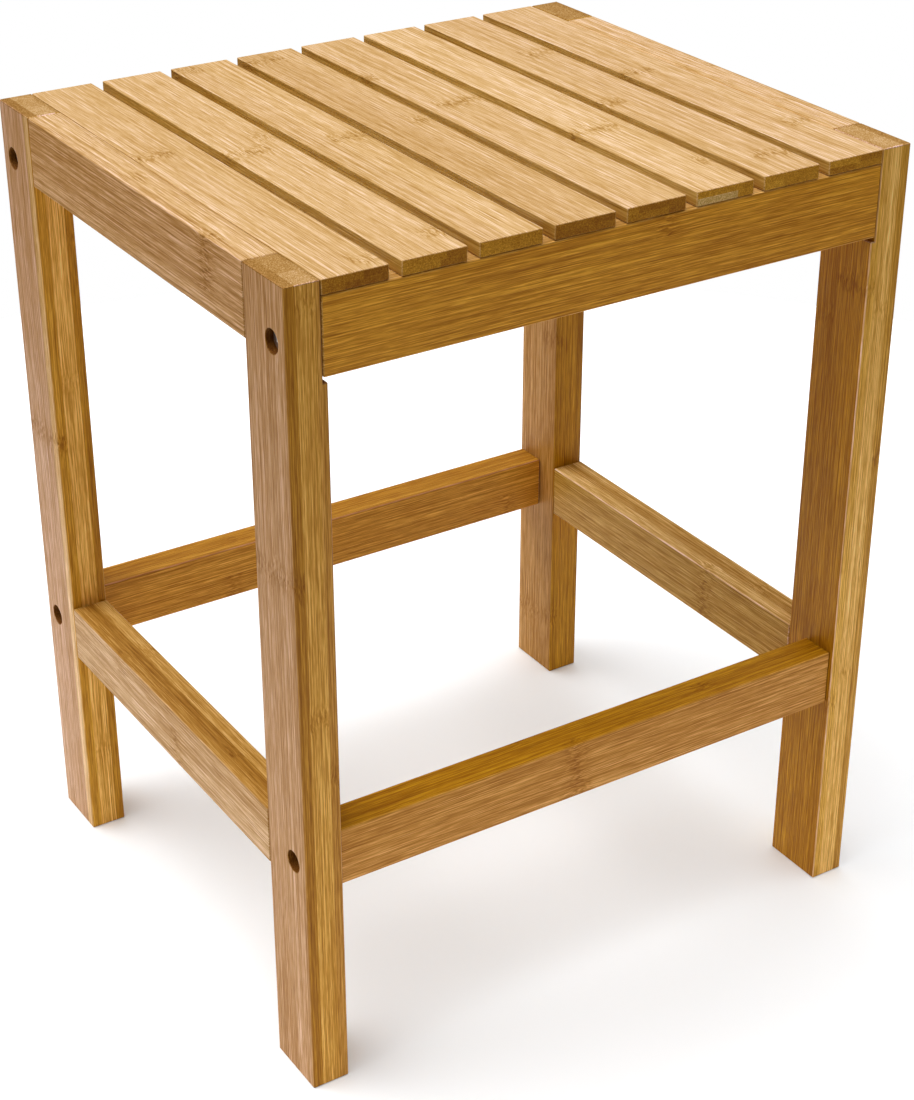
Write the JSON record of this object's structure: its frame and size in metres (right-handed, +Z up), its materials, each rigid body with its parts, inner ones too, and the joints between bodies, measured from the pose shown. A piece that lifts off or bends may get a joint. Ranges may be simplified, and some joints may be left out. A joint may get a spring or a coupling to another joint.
{
  "type": "shower stool",
  "caption": "Small rectangular bamboo shower stool with a slatted draining seat, flush legs, aprons and low stretchers, bolted together through the sides of the legs.",
  "frame": {"origin": "on the floor, under the middle of the seat", "axes": "+Z up, +X to the right as seen from the front, the front faces -Y, the slats run along Y"},
  "size_m": [0.36, 0.314, 0.45],
  "materials": {
    "leg": "laminated bamboo, oiled satin, upright grain",
    "side_rail": "laminated bamboo, oiled satin",
    "side_stretcher": "laminated bamboo, oiled satin",
    "apron": "laminated bamboo, oiled satin",
    "stretcher": "laminated bamboo, oiled satin",
    "slat": "laminated bamboo, oiled satin, lengthwise grain with node marks",
    "bolt": "bright zinc plated",
    "barrel_nut": "bright zinc plated",
    "dowel": "plain hardwood"
  },
  "bodies": {
    "root": {"leg_front_left": "leg", "leg_front_right": "leg", "leg_back_left": "leg", "leg_back_right": "leg", "side_rail_left": "side_rail", "side_rail_right": "side_rail", "side_stretcher_left": "side_stretcher", "side_stretcher_right": "side_stretcher", "apron_front": "apron", "apron_back": "apron", "stretcher_front": "stretcher", "stretcher_back": "stretcher", "seat_slat_1": "slat", "seat_slat_2": "slat", "seat_slat_3": "slat", "seat_slat_4": "slat", "seat_slat_5": "slat", "seat_slat_6": "slat", "seat_slat_7": "slat", "seat_slat_8": "slat", "slat_dowel_front_1": "dowel", "slat_dowel_front_2": "dowel", "slat_dowel_front_3": "dowel", "slat_dowel_front_4": "dowel", "slat_dowel_front_5": "dowel", "slat_dowel_front_6": "dowel", "slat_dowel_front_7": "dowel", "slat_dowel_front_8": "dowel", "slat_dowel_back_1": "dowel", "slat_dowel_back_2": "dowel", "slat_dowel_back_3": "dowel", "slat_dowel_back_4": "dowel", "slat_dowel_back_5": "dowel", "slat_dowel_back_6": "dowel", "slat_dowel_back_7": "dowel", "slat_dowel_back_8": "dowel", "bolt_apron_front_left": "bolt", "bolt_apron_front_right": "bolt", "bolt_apron_back_left": "bolt", "bolt_apron_back_right": "bolt", "bolt_stretcher_front_left": "bolt", "bolt_stretcher_front_right": "bolt", "bolt_stretcher_back_left": "bolt", "bolt_stretcher_back_right": "bolt", "barrel_nut_apron_front_left": "barrel_nut", "barrel_nut_apron_front_right": "barrel_nut", "barrel_nut_apron_back_left": "barrel_nut", "barrel_nut_apron_back_right": "barrel_nut", "barrel_nut_stretcher_front_left": "barrel_nut", "barrel_nut_stretcher_front_right": "barrel_nut", "barrel_nut_stretcher_back_left": "barrel_nut", "barrel_nut_stretcher_back_right": "barrel_nut"}
  },
  "joints": []
}
